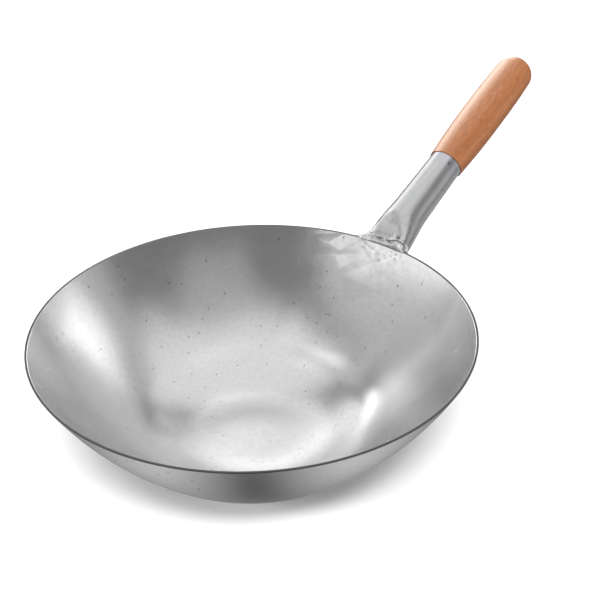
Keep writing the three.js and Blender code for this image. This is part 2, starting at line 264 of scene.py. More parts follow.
# Each panel: name, azimuth and elevation of its centre, width and height as angles seen from the bowl, turn
# in its own plane, all in degrees, distance, radiance, and which pieces it lights. Azimuth 0 is away from
# the camera and 90 to the photograph's right.
PANELS = [
    ("back_strip_panel", -10.1, 16.8, 74.6, 17.8, 11.4, 3.0, 7.18, "bowl"),
    ("back_upper_panel", 7.6, 38.6, 39.9, 8.5, 1.7, 3.0, 0.59, "bowl"),
    ("back_top_panel", -6.2, 51.7, 27.4, 15.3, -11.3, 3.0, 0.74, "bowl"),
    ("back_wide_panel", 0.2, 9.4, 91.1, 53.2, 23, 3.0, 1.28, "bowl"),
    ("back_right_panel", 55.3, 16.4, 27.6, 14.4, -6.2, 3.0, 1.52, "bowl"),
    ("right_panel", 68.4, 7.7, 47.9, 57.7, -20.8, 3.0, 0.335, "bowl"),
    ("right_upper_panel", 132, 65.5, 44, 17, 0, 3.0, 0.09, "bowl"),
    ("left_panel", -91.6, 16.2, 100, 8.5, 21.8, 3.0, 1.48, "bowl"),
    ("left_strip_panel", -80, 26.2, 94.2, 16, 26.4, 3.0, 0.414, "bowl"),
    ("left_upper_panel", -75.5, 50.6, 19.7, 40.4, -35, 3.0, 0.42, "bowl"),
    ("left_top_panel", -110.6, 56.5, 43.1, 10.3, 16.5, 3.0, 0.98, "bowl"),
    ("handle_overhead_panel", 0, 86, 70, 70, 0, 1.3, 0.9, "handle"),
    ("handle_left_panel", -100, 9, 79, 39.5, 18, 3.0, 0.9, "socket"),
    ("socket_left_panel", -20, 28, 60, 32, 0, 3.0, 1.65, "socket"),
    ("socket_right_panel", 100, 10, 50, 28, 0, 3.0, 0.50, "socket"),
    ("socket_fill_panel", 113, 40, 40, 22, 0, 3.0, 0.20, "socket"),
    ("socket_low_panel", 66, -25, 60, 30, 0, 3.0, 0.30, "socket_low"),
    ("socket_flank_panel", -62, 22, 38, 28, 0, 3.0, 0.65, "socket"),
    ("socket_foot_panel", -101, 40, 50, 24, 0, 3.0, 0.45, "socket"),
    ("grip_left_panel", -12, 34, 60, 50, 0, 3.0, 1.6, "grip"),
    ("grip_shine_panel", -20, 32, 60, 30, 0, 3.0, 4.3, "grip_shine"),
    ("grip_right_panel", 126, 5, 90, 50, 0, 3.0, 1.55, "grip_fill"),
    ("floor_lamp", 174.6, 55.3, 18.8, 10.4, 0, 12.0, 49, "floor"),
    ("floor_left_lamp", 254, 20.5, 21.4, 13.7, 0, 12.0, 34, "floor"),
    ("floor_right_lamp", 68, 8, 73.6, 9.5, 0, 12.0, 25, "floor"),
]

# The handle's frame starts at the joint on the rim and runs along the handle
JOINT = (RIM_RADIUS, 0, BOWL_HEIGHT)
UP = (0, 0, 1)
handle_matrix = Matrix.Translation(JOINT) @ Matrix.Rotation(-HANDLE_RISE, 4, "Y")
handle_turn = np.array(handle_matrix.to_3x3())
handle_place = np.array(handle_matrix.translation)

# Bowl section: the wall's arc is tangent to the knuckle's arc and ends at the rim's outer edge
wall_span = RIM_RADIUS - BASE_RADIUS
wall_rise = BOWL_HEIGHT - KNUCKLE_RADIUS
radius_step = WALL_RADIUS - KNUCKLE_RADIUS
tangency = (WALL_RADIUS**2 - radius_step**2 - wall_span**2 - wall_rise**2) / (2 * radius_step)
knuckle_turn = math.atan2(wall_rise, wall_span) + math.asin(tangency / math.hypot(wall_span, wall_rise))
wall_centre_r = BASE_RADIUS - radius_step * math.sin(knuckle_turn)
wall_centre_z = KNUCKLE_RADIUS + radius_step * math.cos(knuckle_turn)


# Shape helpers

def smoothstep(value, low, high):
    """0 below low, 1 above high and smooth between."""
    part = np.clip((value - low) / (high - low), 0, 1)
    return part * part * (3 - 2 * part)


def blend(start, end, part):
    return start + (end - start) * part


def bent(first, middle, last, part):
    """Points of a curve from first to last that is drawn towards middle."""
    return (1 - part)**2 * first + 2 * part * (1 - part) * middle + part**2 * last


def unit_rows(vectors):
    return vectors / np.linalg.norm(vectors, axis=-1, keepdims=True)


def wobble(points, length, seed):
    """Smooth noise of about -1 to 1 at each point, with features of the given length."""
    shift = Vector((seed, 2.7 * seed, -1.3 * seed))
    flat = points.reshape(-1, 3) / length
    values = [noise.noise(Vector(point) + shift) for point in flat]
    return np.array(values).reshape(points.shape[:-1])


def bowl_curve(offset):
    """Radius, height and steepness along a surface parallel to the bowl's outside, from base to rim."""
    wall = WALL_RADIUS + offset
    rim_angle = math.acos((wall_centre_z - BOWL_HEIGHT + RIM_ROUNDING) / wall)
    base_r = np.linspace(BASE_RADIUS / BASE_STEPS, BASE_RADIUS, BASE_STEPS)
    base = np.stack([base_r, np.full(BASE_STEPS, -offset), np.zeros(BASE_STEPS)], axis=1)
    turn = np.linspace(0, knuckle_turn, KNUCKLE_STEPS + 1)[1:]
    bend = KNUCKLE_RADIUS + offset
    knuckle_r = BASE_RADIUS + bend * np.sin(turn)
    knuckle = np.stack([knuckle_r, KNUCKLE_RADIUS - bend * np.cos(turn), turn], axis=1)
    part = 1 - (1 - np.linspace(0, 1, WALL_STEPS + 1)[1:])**WALL_CROWDING
    lean = blend(knuckle_turn, rim_angle, part)
    side_r = wall_centre_r + wall * np.sin(lean)
    side = np.stack([side_r, wall_centre_z - wall * np.cos(lean), lean], axis=1)
    return np.concatenate([base, knuckle, side])


def eased_inside():
    """The inside's curve, with the edge of the flat base smoothed away as spinning leaves it."""
    curve = bowl_curve(-BOWL_SHEET)
    width = BASE_EASE * (1 - smoothstep(curve[:, 0], *BASE_EASE_RADII))
    around = np.abs(curve[:, 0, None] + width[:, None] * np.linspace(-1, 1, EASE_SAMPLES))
    curve[:, 1] = np.interp(around, curve[:, 0], curve[:, 1]).mean(axis=1)
    return curve


def wall_radius_at(height):
    """Radius of the bowl's outside at heights near the rim. Above the rim it stays the rim's."""
    drop = wall_centre_z - np.minimum(height, BOWL_HEIGHT)
    return wall_centre_r + np.sqrt(WALL_RADIUS**2 - drop**2)


def socket_shape(along):
    """Half width, top, depth and squareness of the socket's outside at distances along the handle, and the
    radius of the round tube there."""
    flare = smoothstep(along, 0, SOCKET_FLARE_LENGTH)
    press = smoothstep(along, 0, SOCKET_PRESS_LENGTH)
    taper = np.clip((along - SOCKET_FLARE_LENGTH) / (SOCKET_LENGTH - SOCKET_FLARE_LENGTH), 0, 1)
    tube = blend(SOCKET_NECK_RADIUS, SOCKET_MOUTH_RADIUS, taper)
    half_width = blend(SOCKET_FOOT_HALF_WIDTH, tube, flare)
    top = blend(SOCKET_FOOT_TOP, tube, press)
    depth = blend(SOCKET_FOOT_DEPTH, tube, flare)
    return half_width, top, depth, blend(SOCKET_FOOT_SQUARENESS, 2, press), tube


def socket_points(along, angle, offset):
    """Points on a surface parallel to the socket's outside, in the handle's frame.
    The angle starts at +Y and turns over the top."""
    half_width, top, depth, squareness, tube = socket_shape(along)
    across = np.cos(angle)
    up = np.sin(angle)
    power = np.where(up > 0, 2 / squareness, 1)
    unpressed = SOCKET_PRESS_LEAN * smoothstep(-across, 0, 1)
    height = np.where(up > 0, blend(top, tube, unpressed), depth)
    wing = WING_WIDTH * np.clip(1 - along / WING_REACH, 0, 1) ** 2 * (across > 0)
    y = (half_width + offset + wing) * np.sign(across) * np.abs(across) ** power
    z = (height + offset) * np.sign(up) * np.abs(up) ** power
    return np.stack([along + 0 * y, y, z], axis=-1)


def from_handle(points):
    """Points of the handle's frame in the bowl's frame."""
    return points @ handle_turn.T + handle_place


def joint_distance(angle, offset):
    """Distance along the handle where a surface parallel to the socket's meets the bowl's outside, found by
    halving a stretch that starts well inside the bowl."""
    inside = np.full(angle.shape, -4 * SOCKET_FOOT_HALF_WIDTH)
    outside = np.full(angle.shape, SOCKET_FLARE_LENGTH)
    for _ in range(SOLVE_STEPS):
        middle = (inside + outside) / 2
        place = from_handle(socket_points(middle, angle, offset))
        clear = np.hypot(place[..., 0], place[..., 1]) > wall_radius_at(place[..., 2])
        outside = np.where(clear, middle, outside)
        inside = np.where(clear, inside, middle)
    return outside


# Mesh helpers

def grid_faces(rows, columns):
    """Quads between neighbouring points of a grid that is stored row by row and closes round each row."""
    faces = []
    for row in range(rows - 1):
        start = row * columns
        below = start + columns
        for column in range(columns):
            right = (column + 1) % columns
            faces.append((start + column, start + right, below + right, below + column))
    return faces


def capped_faces(rows, columns):
    """The quads of such a grid, and one face that closes each end."""
    faces = grid_faces(rows, columns)
    faces.append(tuple(range(columns - 1, -1, -1)))
    faces.append(tuple(range((rows - 1) * columns, rows * columns)))
    return faces


def lathed(section, sides):
    """Points and faces of a closed solid of revolution about +X from (radius, distance along X) pairs."""
    angle = np.linspace(0, 2 * math.pi, sides, endpoint=False)
    radius = section[:, 0, None]
    along = np.broadcast_to(section[:, 1, None], (len(section), sides))
    points = np.stack([along, radius * np.cos(angle), radius * np.sin(angle)], axis=-1)
    return points, capped_faces(len(section), sides)


def make_piece(name, points, faces, material, node):
    """A smooth mesh that stands for a CAD node."""
    mesh = bpy.data.meshes.new(name)
    mesh.from_pydata(points.reshape(-1, 3).tolist(), [], faces)
    mesh.validate()
    mesh.materials.append(material)
    mesh.shade_smooth()
    mesh.set_sharp_from_angle(angle=SHARP_ANGLE)
    piece = bpy.data.objects.new(name, mesh)
    bpy.context.scene.collection.objects.link(piece)
    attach(piece, "root")
    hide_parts(node)
    return piece


def soften_edges(piece, width):
    """Rounds the sharp edges of cut sheet."""
    bevel = piece.modifiers.new("soft_edges", "BEVEL")
    bevel.width = width
    bevel.segments = BEVEL_SEGMENTS
    bevel.limit_method = "ANGLE"
    bevel.angle_limit = BEVEL_ANGLE


# Node helpers. A texture's scale is in features per metre.

def new_material(name):
    material = bpy.data.materials.new(name)
    material.use_nodes = True
    tree = material.node_tree
    return material, tree, tree.nodes["Principled BSDF"]


def add_node(tree, kind, inputs=(), **settings):
    made = tree.nodes.new("ShaderNode" + kind)
    for name, value in settings.items():
        setattr(made, name, value)
    for name, value in dict(inputs).items():
        if isinstance(value, bpy.types.NodeSocket):
            tree.links.new(value, made.inputs[name])
        else:
            made.inputs[name].default_value = value
    return made


def calc(tree, operation, first, second=0.0):
    return add_node(tree, "Math", {0: first, 1: second}, operation=operation).outputs[0]


def times(tree, first, second):
    return calc(tree, "MULTIPLY", first, second)


def remap(tree, value, low, high, to_low, to_high):
    inputs = {"Value": value, "From Min": low, "From Max": high, "To Min": to_low, "To Max": to_high}
    return add_node(tree, "MapRange", inputs).outputs[0]


def rising(tree, value, start, end):
    """0 before start, 1 past end. The start may be the larger of the two."""
    if start < end:
        return remap(tree, value, start, end, 0, 1)
    return remap(tree, value, end, start, 1, 0)


def mix_value(tree, factor, first, second):
    return add_node(tree, "Mix", {0: factor, 2: first, 3: second}).outputs[0]


def mix_colour(tree, factor, first, second):
    made = add_node(tree, "Mix", {0: factor}, data_type="RGBA")
    for place, value in ((6, first), (7, second)):
        if isinstance(value, bpy.types.NodeSocket):
            tree.links.new(value, made.inputs[place])
        else:
            made.inputs[place].default_value = (*value, 1)
    return made.outputs[2]


def grey(value):
    return (value, value, value)


def object_position(tree):
    return add_node(tree, "TexCoord").outputs["Object"]


def split(tree, vector):
    """The three components of a vector."""
    return add_node(tree, "SeparateXYZ", {0: vector}).outputs


def distance_to(tree, position, place):
    return add_node(tree, "VectorMath", {0: position, 1: place}, operation="DISTANCE").outputs["Value"]


def stretched(tree, vector, scale):
    return add_node(tree, "Mapping", {"Vector": vector, "Scale": scale}).outputs[0]


def noise_value(tree, vector, scale, detail=2.0, roughness=0.5, distortion=0.0):
    inputs = {"Vector": vector, "Scale": scale, "Detail": detail, "Roughness": roughness,
              "Distortion": distortion}
    return add_node(tree, "TexNoise", inputs).outputs["Fac"]


def chosen_cells(tree, cells, share):
    """1 in a share of a cell pattern's cells, 0 in the others."""
    picked = add_node(tree, "SeparateColor", {0: cells.outputs["Color"]}).outputs[0]
    return calc(tree, "LESS_THAN", picked, share)


def specks(tree, position, scale, size, share):
    """1 inside a few small spots that lie scattered as seen from above, 0 elsewhere."""
    cells = add_node(tree, "TexVoronoi", {"Vector": position, "Scale": scale}, voronoi_dimensions="2D")
    spot = calc(tree, "LESS_THAN", cells.outputs["Distance"], size)
    return times(tree, spot, chosen_cells(tree, cells, share))


def wood_pores(tree, position, scale, inner, outer, share):
    """1 inside short streaks along the grain, in a share of the cells of a stretched pattern."""
    grain = stretched(tree, position, (0.2, 1, 1))
    cells = add_node(tree, "TexVoronoi", {"Vector": grain, "Scale": scale})
    streak = remap(tree, cells.outputs["Distance"], inner, outer, 1.0, 0.0)
    return times(tree, streak, chosen_cells(tree, cells, share))


def bump(tree, shader, height, strength, distance):
    made = add_node(tree, "Bump", {"Height": height, "Strength": strength, "Distance": distance})
    tree.links.new(made.outputs[0], shader.inputs["Normal"])


# Materials

def bowl_steel():
    """Satin steel with fine rings from spinning, mottled tone, bright marks near the weld and a few tiny
    specks. Away from the weld, the cut edge of the rim is dull and dark."""
    material, tree, shader = new_material("bowl_steel")
    position = object_position(tree)
    x, y, z = split(tree, position)
    flat = add_node(tree, "CombineXYZ", {0: x, 1: y}).outputs[0]
    radius = add_node(tree, "VectorMath", {0: flat}, operation="LENGTH").outputs["Value"]
    turn = times(tree, calc(tree, "ARCTAN2", y, x), 0.004)
    rings = add_node(tree, "CombineXYZ", {0: radius, 1: turn, 2: z}).outputs[0]
    lines = noise_value(tree, rings, 700, 3.0, 0.65)
    clouds = noise_value(tree, position, 28, 4.0, 0.6)
    grain = noise_value(tree, position, 380, 3.0, 0.6)
    pits = specks(tree, position, 120, 0.060, 0.17)
    joint = distance_to(tree, position, JOINT)
    marks = remap(tree, noise_value(tree, position, 230), 0.5, 0.62, 0, 0.3)
    marks = times(tree, rising(tree, joint, *MARKS_REACH), marks)
    bare = rising(tree, joint, *BARE_REACH)
    shade = times(tree, bare, rising(tree, z, *(BOWL_HEIGHT - depth for depth in RIM_SHADE_DEPTHS)))
    cut_in = rising(tree, radius, *(RIM_RADIUS - inset for inset in CUT_INSETS))
    cut_top = rising(tree, z, *(BOWL_HEIGHT - depth for depth in CUT_DEPTHS))
    cut = times(tree, bare, times(tree, cut_in, cut_top))

    tone = mix_colour(tree, clouds, *map(grey, BOWL_TONES))
    tone = mix_colour(tree, times(tree, lines, 0.2), tone, grey(BOWL_RING_TONE))
    tone = mix_colour(tree, remap(tree, grain, 0.46, 0.70, 0, 0.22), tone, grey(BOWL_GRAIN_TONE))
    tone = mix_colour(tree, marks, tone, grey(BOWL_MARK_TONE))
    tone = mix_colour(tree, pits, tone, grey(BOWL_SPECK_TONE))
    tone = mix_colour(tree, shade, tone, grey(RIM_SHADE_TONE))
    tone = mix_colour(tree, cut, tone, grey(CUT_TONE))
    tree.links.new(tone, shader.inputs["Base Color"])
    rough = calc(tree, "ADD", remap(tree, clouds, 0.3, 0.7, 0.21, 0.26), times(tree, grain, 0.03))
    tree.links.new(rough, shader.inputs["Roughness"])
    tree.links.new(calc(tree, "SUBTRACT", 1.0, cut), shader.inputs["Metallic"])
    shader.inputs["Specular IOR Level"].default_value = 0.0
    shader.inputs["Anisotropic"].default_value = 0.1
    tangent = add_node(tree, "Tangent", direction_type="RADIAL", axis="Z").outputs[0]
    tree.links.new(tangent, shader.inputs["Tangent"])
    bump(tree, shader, calc(tree, "SUBTRACT", grain, times(tree, pits, 0.6)), 0.025, 0.0003)
    return material


def socket_steel():
    """Rolled sheet with lengthwise streaks and bands, a mottled foot with painted shade in its pits, and a
    faint tint near the mouth.
    """
    material, tree, shader = new_material("socket_steel")
    position = object_position(tree)
    along = split(tree, position)[0]
    lengthwise = stretched(tree, position, (0.03, 1, 1))
    streaks = noise_value(tree, lengthwise, 900, 3.0, 0.6)
    bands = noise_value(tree, lengthwise, 330, 1.0, 0.5)
    clouds = noise_value(tree, position, 90, 4.0, 0.6)
    near_mouth = remap(tree, along, SOCKET_LENGTH - MOUTH_TINT_LENGTH, SOCKET_LENGTH, 0.0, 0.35)
    stain = remap(tree, noise_value(tree, position, 330, 4.0, 0.65), 0.45, 0.62, 0, 0.6)
    stain = times(tree, rising(tree, along, *FOOT_STAIN_ALONG), stain)

    tone = mix_colour(tree, clouds, *SOCKET_COLOURS)
    tone = mix_colour(tree, times(tree, streaks, 0.2), tone, SOCKET_STREAK_COLOUR)
    tone = mix_colour(tree, remap(tree, bands, 0.45, 0.65, 0, 0.3), tone, SOCKET_BAND_COLOUR)
    tone = mix_colour(tree, near_mouth, tone, MOUTH_TINT)
    tone = mix_colour(tree, stain, tone, grey(FOOT_STAIN_TONE))
    # Each pit is darkened: painted shade in the recess
    for centre, reach in PITS:
        away = distance_to(tree, position, centre)
        tone = mix_colour(tree, remap(tree, away, 0.4 * reach, 1.4 * reach, 0.8, 0.0), tone, grey(PIT_SHADE_TONE))
    tree.links.new(tone, shader.inputs["Base Color"])
    tree.links.new(remap(tree, streaks, 0.3, 0.7, 0.26, 0.40), shader.inputs["Roughness"])
    shader.inputs["Metallic"].default_value = 1.0
    bump(tree, shader, streaks, 0.1, 0.00005)
    return material


def weld_steel():
    """Weld metal: patchy grey, with dark scale and painted shade in the crease along the rim weld's top,
    and a brightly ground end on its -Y side."""
    material, tree, shader = new_material("weld_steel")
    position = object_position(tree)
    _, y, z = split(tree, position)
    patches = noise_value(tree, position, 230, 4.0, 0.6)
    # Dark scale near the top of the rim weld's middle, which also stands as painted shade in the crease
    # there
    aside = calc(tree, "ABSOLUTE", calc(tree, "SUBTRACT", y, SCALE_AND_SHADE_MIDDLE))
    high = rising(tree, z, *(BOWL_HEIGHT + height for height in SCALE_AND_SHADE_HEIGHTS))
    scale = times(tree, high, rising(tree, aside, *SCALE_AND_SHADE_ASIDE))
    scale = times(tree, scale, remap(tree, noise_value(tree, position, 420), 0.36, 0.56, 0, 0.9))
    ground = times(tree, rising(tree, y, *GROUND_ACROSS), remap(tree, patches, 0.4, 0.55, 0, 1))

    tone = mix_colour(tree, remap(tree, patches, 0.35, 0.65, 0, 1), *map(grey, WELD_TONES))
    tone = mix_colour(tree, scale, tone, grey(SCALE_AND_CREASE_SHADE_TONE))
    tone = mix_colour(tree, ground, tone, grey(GROUND_TONE))
    tree.links.new(tone, shader.inputs["Base Color"])
    tree.links.new(remap(tree, patches, 0.3, 0.7, 0.45, 0.28), shader.inputs["Roughness"])
    shader.inputs["Metallic"].default_value = 1.0
    bump(tree, shader, patches, 0.15, 0.0003)
    return material


def grip_wood():
    """Warm orange-brown beech with faint growth bands, fine fibres, pale flecks and short darker pores
    along the grain, under a satin coat."""
    material, tree, shader = new_material("grip_wood")
    position = object_position(tree)
    bands = noise_value(tree, stretched(tree, position, (0.05, 1, 1)), 150, 3.0, 0.55, 0.5)
    fibres = noise_value(tree, stretched(tree, position, (0.06, 1, 1)), 700, 4.0, 0.65)
    mottle = noise_value(tree, stretched(tree, position, (0.3, 1, 1)), 420, 2.0, 0.5)
    pores = wood_pores(tree, position, 620, 0.12, 0.34, 0.45)
    flecks = wood_pores(tree, stretched(tree, position, (1, -1, 1)), 560, 0.10, 0.32, 0.40)

    tone = mix_colour(tree, remap(tree, bands, 0.3, 0.7, 0, 1), *WOOD_BAND_COLOURS)
    tone = mix_colour(tree, remap(tree, fibres, 0.35, 0.75, 0, 0.4), tone, WOOD_FIBRE_COLOUR)
    tone = mix_colour(tree, remap(tree, mottle, 0.42, 0.68, 0, 0.35), tone, WOOD_MOTTLE_COLOUR)
    tone = mix_colour(tree, times(tree, flecks, 0.45), tone, WOOD_FLECK_COLOUR)
    tone = mix_colour(tree, times(tree, pores, 0.45), tone, WOOD_PORE_COLOUR)
    tree.links.new(tone, shader.inputs["Base Color"])
    tree.links.new(remap(tree, fibres, 0.3, 0.7, 0.46, 0.56), shader.inputs["Roughness"])
    shader.inputs["Specular IOR Level"].default_value = 0.4
    shader.inputs["Coat Weight"].default_value = 0.8
    shader.inputs["Coat Roughness"].default_value = 0.40
    bump(tree, shader, calc(tree, "SUBTRACT", times(tree, fibres, 0.4), pores), 0.25, 0.00012)
    return material


def nail_steel():
    """Dull dark steel."""
    material, tree, shader = new_material("nail_steel")
    patches = noise_value(tree, object_position(tree), 900, 4.0, 0.6)
    tree.links.new(mix_colour(tree, patches, *map(grey, NAIL_TONES)), shader.inputs["Base Color"])
    tree.links.new(remap(tree, patches, 0.3, 0.7, 0.4, 0.6), shader.inputs["Roughness"])
    shader.inputs["Metallic"].default_value = 1.0
    bump(tree, shader, patches, 0.3, 0.0001)
    return material


# Bowl

def ring_angles():
    """Angles round the bowl, closer together near the handle."""
    fine_count = round(2 * BOWL_FINE_HALF / BOWL_FINE_STEP)
    fine = np.linspace(-BOWL_FINE_HALF, BOWL_FINE_HALF, fine_count, endpoint=False)
    coarse_end = 2 * math.pi - BOWL_FINE_HALF
    coarse_count = round((coarse_end - BOWL_FINE_HALF) / BOWL_COARSE_STEP)
    coarse = np.linspace(BOWL_FINE_HALF, coarse_end, coarse_count, endpoint=False)
    return np.concatenate([fine, coarse])


def spun(curve, angles):
    """Points of a curve of (radius, height) pairs, turned to each angle round the bowl."""
    spin = np.stack([np.cos(angles), np.sin(angles)], axis=-1)
    flat = curve[:, 0, None, None] * spin[None]
    height = np.broadcast_to(curve[:, 1, None, None], (*flat.shape[:2], 1))
    return np.concatenate([flat, height], axis=-1)


def rim_edge(first, corner, last):
    """A few points that round off a corner of the bowl's section."""
    return bent(first, corner, last, np.linspace(0, 1, RIM_EDGE_STEPS)[1:-1, None])


def bowl_dent(points):
    """How far the sheet is pushed outwards: slight waves all over, dents that the welding left, and the
    hammer's marks."""
    wave = BOWL_WAVE * wobble(points, BOWL_WAVE_LENGTH, WAVE_SEED)
    wave *= smoothstep(points[..., 2], *BOWL_WAVE_HEIGHTS)
    near = np.exp(-(np.linalg.norm(points - np.array(JOINT), axis=-1) / WELD_DENT_REACH)**2)
    fine = FINE_DENT_SHARE * wobble(points, WELD_DENT_LENGTH / 2, FINE_DENT_SEED)
    dents = WELD_DENT * near * (wobble(points, WELD_DENT_LENGTH, DENT_SEED) + fine)
    turn = np.arctan2(points[..., 1], points[..., 0])
    for degrees, drop, half_length, half_width, lie, push in HAMMER_MARKS:
        across = RIM_RADIUS * (turn - math.radians(degrees))
        down = BOWL_HEIGHT - points[..., 2] - drop
        slant = math.radians(lie)
        first = (across * math.cos(slant) + down * math.sin(slant)) / half_length
        second = (down * math.cos(slant) - across * math.sin(slant)) / half_width
        dents += push * np.clip(1 - np.maximum(np.abs(first), np.abs(second)), 0, 1)
    return wave + dents


def make_bowl():
    """One sheet of even thickness with a level cut rim. Both sides follow the dents of its middle."""
    outside = bowl_curve(0)
    middle = bowl_curve(-BOWL_SHEET / 2)[:, :2]
    inside = eased_inside()
    rim_in = inside[-1, 0] + RIM_ROUNDING * math.cos(inside[-1, 2]) / math.sin(inside[-1, 2])
    outer_end = np.array([RIM_RADIUS - RIM_ROUNDING, BOWL_HEIGHT])
    inner_end = np.array([rim_in + RIM_ROUNDING, BOWL_HEIGHT])
    outer_edge = rim_edge(outside[-1, :2], np.array([RIM_RADIUS, BOWL_HEIGHT]), outer_end)
    inner_edge = rim_edge(inner_end, np.array([rim_in, BOWL_HEIGHT]), inside[-1, :2])
    rim = np.concatenate([outer_edge, [outer_end, inner_end], inner_edge])
    section = np.concatenate([outside[:, :2], rim, inside[::-1, :2]])
    lean = np.concatenate([outside[:, 2], np.full(len(rim), outside[-1, 2]), inside[::-1, 2]])
    sheet_middle = np.concatenate([middle, np.tile(middle[-1:], (len(rim), 1)), middle[::-1]])
    angles = ring_angles()
    normal = spun(np.stack([np.sin(lean), -np.cos(lean)], axis=1), angles)
    points = spun(section, angles) + normal * bowl_dent(spun(sheet_middle, angles))[..., None]
    faces = capped_faces(*points.shape[:2])
    return make_piece("bowl", points, faces, bowl_steel(), "wok_bowl")


# Socket

def foot_dent(points):
    """How far the socket's sheet is pushed out near its foot, where it was pressed and welded."""
    near = np.exp(-(points[..., 0] / FOOT_DENT_REACH)**2)
    near *= smoothstep(points[..., 2], *FOOT_DENT_HEIGHTS)
    dents = FOOT_DENT * near * wobble(points, FOOT_DENT_LENGTH, FOOT_SEED)
    for centre, reach in PITS:
        dents -= PIT_DEPTH * np.exp(-(np.linalg.norm(points - centre, axis=-1) / reach)**2)
    return dents


def socket_skin(angle, offset):
    """Points of a surface parallel to the socket's outside, from foot to mouth, with the foot's dents."""
    start = joint_distance(angle, offset)[None]
    part = np.linspace(0, 1, SOCKET_RINGS)[:, None]**SOCKET_CROWDING
    points = socket_points(start + (SOCKET_LENGTH - start) * part, angle[None], offset)
    outward = unit_rows(points * np.array([0, 1, 1]))
    return points + outward * foot_dent(points)[..., None]


def make_socket():
    """A rolled tube with an open seam underneath, cut at its foot to sit on the bowl."""
    half_seam = math.asin(SEAM_GAP / 2 / SOCKET_FOOT_DEPTH)
    angle = np.linspace(half_seam - math.pi / 2, 1.5 * math.pi - half_seam, SOCKET_SIDES)
    loops = np.concatenate([socket_skin(angle, 0), socket_skin(angle, -SOCKET_SHEET)[:, ::-1]], axis=1)
    rows, columns = loops.shape[:2]
    faces = grid_faces(rows, columns)
    for row in (0, rows - 1):
        first = row * columns
        last = first + columns - 1
        for step in range(SOCKET_SIDES - 1):
            cap = (first + step, first + step + 1, last - step - 1, last - step)
            faces.append(tuple(reversed(cap)) if row == 0 else cap)
    piece = make_piece("socket", loops, faces, socket_steel(), "handle_socket")
    piece.matrix_world = handle_matrix
    soften_edges(piece, SOCKET_EDGE_WIDTH)
    return piece


# Welds

def weld_run(points):
    """Length along a row of points."""
    steps = np.linalg.norm(np.diff(points, axis=0), axis=1)
    return np.concatenate([[0], np.cumsum(steps)])


def roughened(sections, run, normals, amount):
    """Pushes a weld's surface out and in, in ripples along its run and in finer lumps."""
    ripple = WELD_RIPPLE * np.cos(2 * math.pi * run / WELD_RIPPLE_LENGTH)[:, None]
    lumps = WELD_MOTTLE * wobble(sections, WELD_MOTTLE_LENGTH, WELD_SEED)
    return sections + normals * ((ripple + lumps) * amount)[..., None]


def make_weld(name, sections, material, node):
    """A closed piece of weld metal from section loops along its run."""
    return make_piece(name, sections, capped_faces(*sections.shape[:2]), material, node)


def make_rim_weld(material):
    """Weld that fills the step from the rim's edge up to the socket's pressed lip."""
    angle = np.linspace(RIM_WELD_END, math.pi - RIM_WELD_END, WELD_STEPS)
    lip = from_handle(socket_points(joint_distance(angle, 0), angle, 0))
    azimuth = np.arctan2(lip[:, 1], lip[:, 0])
    out = np.stack([np.cos(azimuth), np.sin(azimuth), 0 * azimuth], axis=1)
    rise = np.maximum(lip[:, 2] - BOWL_HEIGHT, RIM_WELD_LEAST_RISE)
    full = smoothstep(angle, 0, RIM_WELD_RUN_IN) * smoothstep(math.pi - angle, 0, RIM_WELD_RUN_OUT)
    crease = smoothstep(lip[:, 1], *CREASE_START) * (1 - smoothstep(lip[:, 1], *CREASE_END))
    crease *= blend(1, wobble(lip, WELD_MOTTLE_LENGTH, CREASE_SEED), CREASE_UNEVENNESS)

    def along_rim(beyond, over):
        """Points so far beyond the rim's edge and over its top."""
        return out * (RIM_RADIUS + beyond)[:, None] + np.outer(BOWL_HEIGHT + over, UP)

    foot = along_rim(-blend(*RIM_WELD_FOOT_IN, full), -blend(*RIM_WELD_FOOT_DROP, full))
    bulge = along_rim(-blend(*RIM_WELD_BULGE_IN, full), rise * RIM_WELD_BULGE_RISE)
    head = along_rim(blend(*RIM_WELD_HEAD_OUT, crease), rise + blend(*RIM_WELD_HEAD_UP, crease))
    steps = np.linspace(0, 1, RIM_WELD_POINTS)
    front = bent(foot[:, None], bulge[:, None], head[:, None], steps[None, :, None])
    push = RIM_WELD_PUSH_UP * np.array(UP) - RIM_WELD_PUSH_IN * out[:, None]
    fade = np.outer(full, np.sin(math.pi * steps))
    front = roughened(front, weld_run(lip), np.broadcast_to(push, front.shape), fade)
    back_head = head + out * RIM_WELD_BACK_OUT - RIM_WELD_BACK_DROP * np.array(UP)
    back_foot = foot + out * RIM_WELD_FOOT_BACK
    sections = np.concatenate([front, back_head[:, None], back_foot[:, None]], axis=1)
    return make_weld("rim_weld", sections[::-1], material, "rim_weld_bead")


